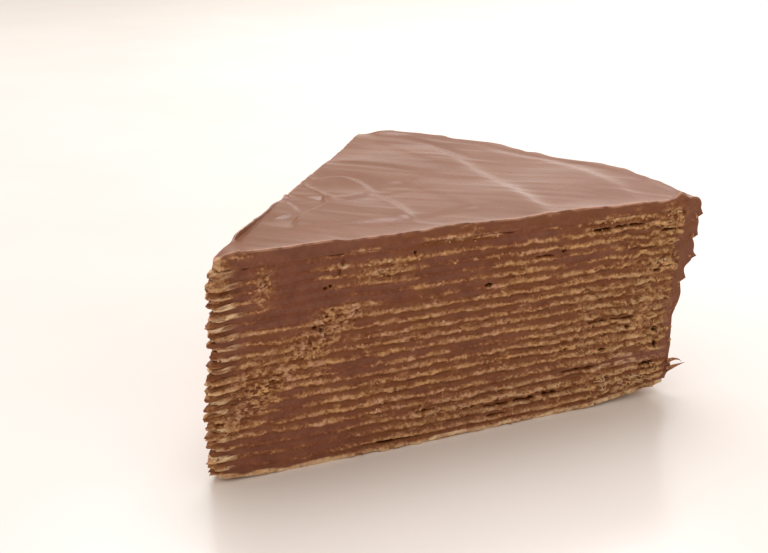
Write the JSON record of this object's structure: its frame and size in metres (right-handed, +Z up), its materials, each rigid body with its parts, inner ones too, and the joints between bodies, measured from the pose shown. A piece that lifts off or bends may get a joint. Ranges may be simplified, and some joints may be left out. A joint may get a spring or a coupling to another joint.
{
  "type": "wafer cake slice",
  "caption": "Wedge slice of layered wafer cake: thin round wafers with chocolate cream between them, under one chocolate coat on the top and rim.",
  "frame": {"origin": "on the flat underside, on the slice's bisector, 60 mm from the point where the cut planes meet", "axes": "+Z up, +X along the bisector from the tip to the rim; the cut faces are the -Y and +Y sides"},
  "size_m": [0.1169, 0.1022, 0.0471],
  "materials": {
    "wafer": "dry, matt and crumbly",
    "cream": "soft and satin",
    "coat": "set chocolate, satin"
  },
  "bodies": {
    "root": {"wafer_01": "wafer", "cream_01": "cream", "wafer_02": "wafer", "cream_02": "cream", "wafer_03": "wafer", "cream_03": "cream", "wafer_04": "wafer", "cream_04": "cream", "wafer_05": "wafer", "cream_05": "cream", "wafer_06": "wafer", "cream_06": "cream", "wafer_07": "wafer", "cream_07": "cream", "wafer_08": "wafer", "cream_08": "cream", "wafer_09": "wafer", "cream_09": "cream", "wafer_10": "wafer", "cream_10": "cream", "wafer_11": "wafer", "cream_11": "cream", "wafer_12": "wafer", "cream_12": "cream", "wafer_13": "wafer", "cream_13": "cream", "wafer_14": "wafer", "cream_14": "cream", "wafer_15": "wafer", "cream_15": "cream", "wafer_16": "wafer", "cream_16": "cream", "wafer_17": "wafer", "cream_17": "cream", "wafer_18": "wafer", "cream_18": "cream", "wafer_19": "wafer", "cream_19": "cream", "wafer_20": "wafer", "cream_20": "cream", "wafer_21": "wafer", "chocolate_coat": "coat"}
  },
  "joints": []
}
